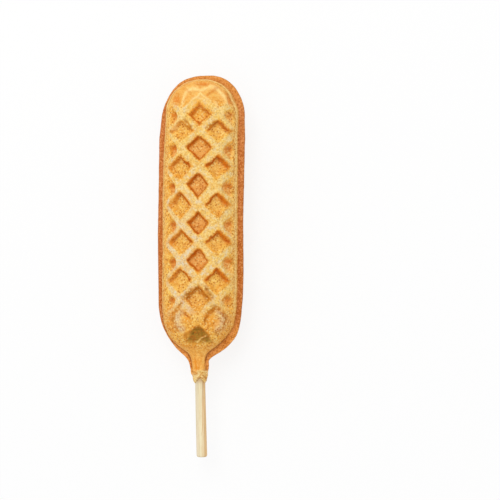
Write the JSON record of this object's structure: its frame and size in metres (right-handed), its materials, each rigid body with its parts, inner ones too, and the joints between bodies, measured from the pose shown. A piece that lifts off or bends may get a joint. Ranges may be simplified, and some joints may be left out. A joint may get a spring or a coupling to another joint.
{
  "type": "waffle corn dog on a stick",
  "caption": "Sausage on a round wooden stick, baked in two fused halves of waffle batter with a flash rim round the seam. It is eaten by hand from the stick.",
  "frame": {"origin": "under the middle of the whole length, on the surface that the dog lies on", "axes": "+Y from the stick's free end to the dog's tip, +Z out of the front face, +X to the right of the front face with the tip up"},
  "size_m": [0.039, 0.174, 0.028],
  "materials": {
    "batter": "matte",
    "sausage_meat": "matte",
    "sausage_casing": "satin",
    "stick": "matte"
  },
  "bodies": {
    "dog": {"front_batter": "batter", "back_batter": "batter", "sausage_meat": "sausage_meat", "sausage_casing": "sausage_casing"},
    "stick": {"stick": "stick"}
  },
  "joints": [
    {"name": "stick_slide", "type": "slide", "parent": "dog", "child": "stick", "axis": [0, -1, 0], "range_m": [0, 0.115]}
  ]
}
